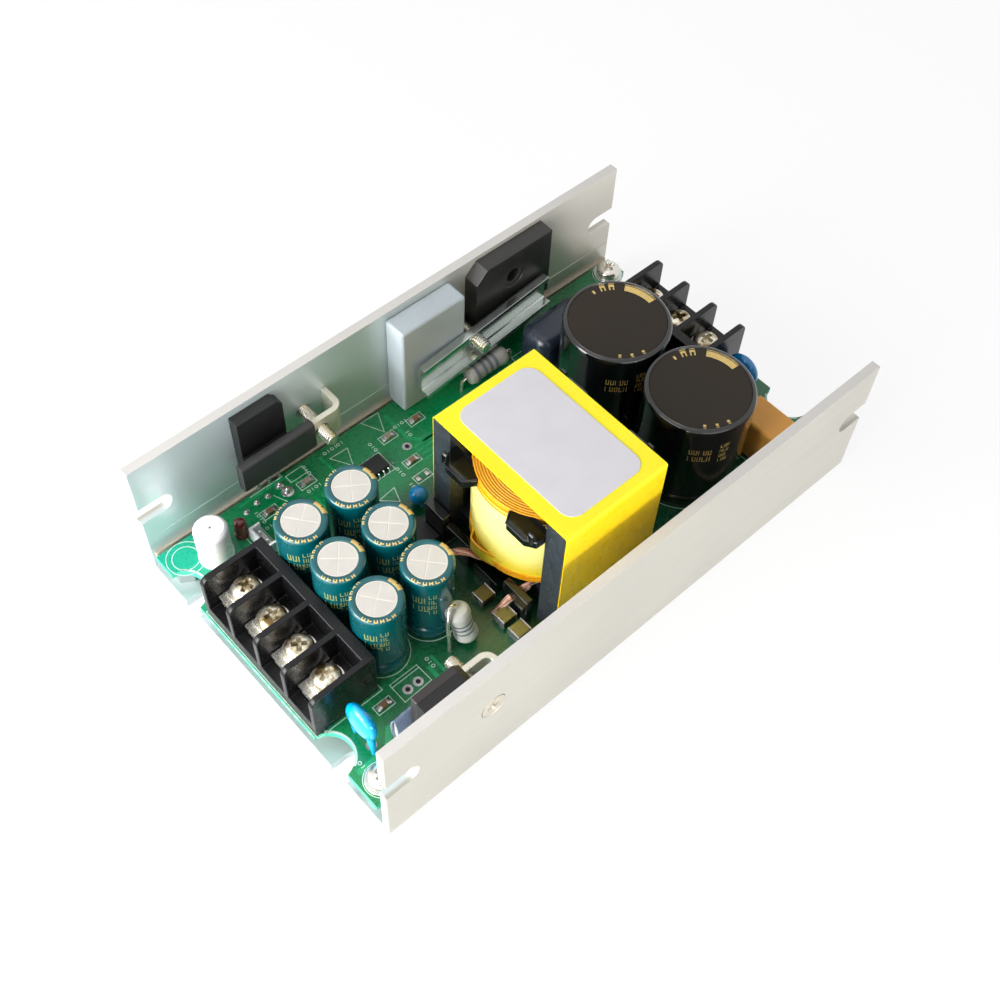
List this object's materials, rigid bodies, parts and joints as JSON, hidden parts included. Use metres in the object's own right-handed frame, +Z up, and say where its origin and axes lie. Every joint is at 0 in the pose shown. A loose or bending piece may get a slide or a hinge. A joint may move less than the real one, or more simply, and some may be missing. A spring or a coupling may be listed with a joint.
{
  "type": "power supply",
  "caption": "Open-frame power supply: a circuit board with a transformer, capacitors and screw terminals in a U-shaped aluminium chassis.",
  "frame": {"origin": "middle of the chassis floor's underside", "axes": "+X along the length towards the input terminals, +Y across, +Z up out of the open side"},
  "size_m": [0.127, 0.0762, 0.0426],
  "materials": {
    "sheet_aluminium": "satin",
    "nickel_steel": "bright",
    "zinc_steel": "bright",
    "board_green": "semi-gloss",
    "liner_film": "matte",
    "block_black": "satin",
    "sleeve_teal": "glossy",
    "sleeve_dark": "glossy",
    "ferrite": "matte",
    "bobbin_black": "glossy",
    "tape_yellow": "glossy",
    "label_paper": "matte",
    "copper_strands": "bright",
    "silicone_grey": "matte",
    "sleeve_rubber": "matte",
    "package_black": "matte",
    "epoxy_blue": "glossy",
    "resistor_white": "matte",
    "film_orange": "glossy",
    "filter_dark": "satin",
    "lens_white": "glossy",
    "lamp_red": "glossy",
    "header_white": "matte",
    "chip_brown": "matte",
    "block_olive": "matte"
  },
  "bodies": {
    "root": {"chassis": "sheet_aluminium", "wall_screws": "nickel_steel", "board_screws": "nickel_steel", "board_washers": "nickel_steel", "board_standoffs": "nickel_steel", "circuit_board": "board_green", "insulating_liner": "liner_film", "output_terminal_block": "block_black", "input_terminal_block": "block_black", "output_terminal_plates": "nickel_steel", "input_terminal_plates": "nickel_steel", "output_clamp_plates": "nickel_steel", "input_clamp_plates": "nickel_steel", "output_terminal_screws": "nickel_steel", "input_terminal_screws": "nickel_steel", "bulk_capacitor_1": "sleeve_dark", "bulk_capacitor_2": "sleeve_dark", "core_lower": "ferrite", "core_upper": "ferrite", "bobbin": "bobbin_black", "winding": "tape_yellow", "core_tape": "tape_yellow", "transformer_label": "label_paper", "winding_leads": "copper_strands", "thermal_boot": "silicone_grey", "switching_transistor": "package_black", "bridge_rectifier": "package_black", "clamp_bar": "zinc_steel", "far_transistor": "package_black", "near_transistor": "package_black", "far_clamp_strap": "zinc_steel", "near_clamp_strap": "zinc_steel", "far_strap_sleeve": "sleeve_rubber", "near_strap_sleeve": "silicone_grey", "front_disc_capacitor": "epoxy_blue", "rear_disc_capacitor": "epoxy_blue", "bead_capacitor": "epoxy_blue", "snubber_resistor": "resistor_white", "upright_resistor": "resistor_white", "film_capacitor": "film_orange", "line_filter": "filter_dark", "input_fuse": "package_black", "indicator_lens": "lens_white", "red_lamp": "lamp_red", "pin_header": "header_white", "controller_chip": "package_black", "coupler": "package_black", "chip_parts": "chip_brown", "block_capacitors": "block_olive", "output_capacitor_1_1": "sleeve_teal", "output_capacitor_1_2": "sleeve_teal", "output_capacitor_2_1": "sleeve_teal", "output_capacitor_2_2": "sleeve_teal", "output_capacitor_3_1": "sleeve_teal", "output_capacitor_3_2": "sleeve_teal"}
  },
  "joints": []
}
